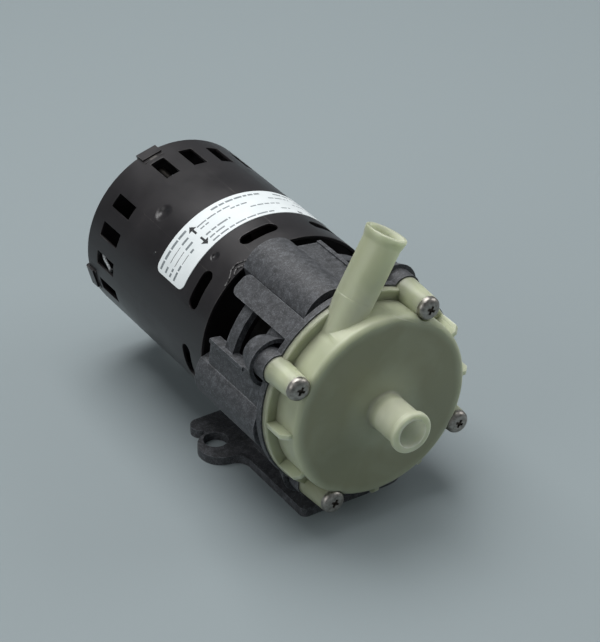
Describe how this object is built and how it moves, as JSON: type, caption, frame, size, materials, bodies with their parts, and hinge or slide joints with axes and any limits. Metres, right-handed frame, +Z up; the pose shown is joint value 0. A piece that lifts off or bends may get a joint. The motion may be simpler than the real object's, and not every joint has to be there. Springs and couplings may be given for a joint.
{
  "type": "magnetic drive pump",
  "caption": "Small magnetically coupled centrifugal pump with axial inlet, tangential outlet, eared foot and open fan-cooled motor.",
  "frame": {"origin": "on the sole of the foot, midway between its two ears", "axes": "+Z up, pump axis along Y with the inlet towards -Y, +X to the right of the inlet"},
  "size_m": [0.093, 0.1881, 0.1273],
  "materials": {
    "housing_plastic": "translucent pale green polypropylene",
    "bracket_plastic": "speckled glass-filled plastic",
    "shell_paint": "semi-gloss near-black enamel",
    "bell_paint": "dark enamel",
    "stainless_screw": "plain stainless steel",
    "clip_steel": "bare spring steel",
    "plain_steel": "zinc-plated steel",
    "insert_brass": "turned brass",
    "cup_steel": "turned steel",
    "shaft_steel": "ground steel",
    "lamination_steel": "stacked electrical steel",
    "cage_aluminium": "cast aluminium",
    "winding_copper": "enamelled copper wire",
    "bearing_bronze": "oil-filled sintered bronze",
    "oil_felt": "oiled felt",
    "seal_rubber": "black rubber",
    "impeller_plastic": "natural polypropylene",
    "can_plastic": "natural polypropylene",
    "ferrite": "sintered ferrite",
    "carbon": "carbon graphite",
    "ceramic": "ground ceramic",
    "washer_plastic": "phenolic sheet",
    "fan_plastic": "black nylon",
    "label_film": "printed white film"
  },
  "bodies": {
    "pump_body": {"front_housing": "housing_plastic", "housing_o_ring": "seal_rubber", "housing_screws": "stainless_screw", "screw_inserts": "insert_brass", "spindle": "ceramic", "front_thrust_washer": "ceramic", "rear_thrust_washer": "ceramic", "rear_housing": "can_plastic", "motor_bracket": "bracket_plastic", "bracket_foot": "bracket_plastic", "motor_shell": "shell_paint", "front_end_bell": "bell_paint", "rear_end_bell": "bell_paint", "through_bolts": "plain_steel", "through_bolt_nuts": "plain_steel", "rim_clips": "clip_steel", "front_bearing": "bearing_bronze", "rear_bearing": "bearing_bronze", "front_oil_felt": "oil_felt", "rear_oil_felt": "oil_felt", "front_bearing_retainer": "clip_steel", "rear_bearing_retainer": "clip_steel", "stator_core": "lamination_steel", "stator_winding": "winding_copper", "nameplate": "label_film", "lead_grommet": "seal_rubber"},
    "motor_rotor": {"motor_shaft": "shaft_steel", "rotor_core": "lamination_steel", "rotor_cage": "cage_aluminium", "rotor_sleeves": "plain_steel", "shaft_thrust_washers": "washer_plastic", "cooling_fan": "fan_plastic", "drive_cup": "cup_steel", "drive_magnet": "ferrite", "hub_set_screws": "plain_steel"},
    "impeller_assembly": {"impeller": "impeller_plastic", "driven_magnet": "ferrite", "impeller_bushing": "carbon"}
  },
  "joints": [
    {"name": "rotor_spin", "type": "hinge", "parent": "pump_body", "child": "motor_rotor", "pos_m": [0, 0, 0.0528], "axis": [0, 1, 0], "continuous": true},
    {"name": "impeller_spin", "type": "hinge", "parent": "pump_body", "child": "impeller_assembly", "pos_m": [0, -0.045, 0.0528], "axis": [0, 1, 0], "continuous": true}
  ],
  "couplings": [
    {"joint": "impeller_spin", "follows": "rotor_spin", "ratio": 1}
  ]
}
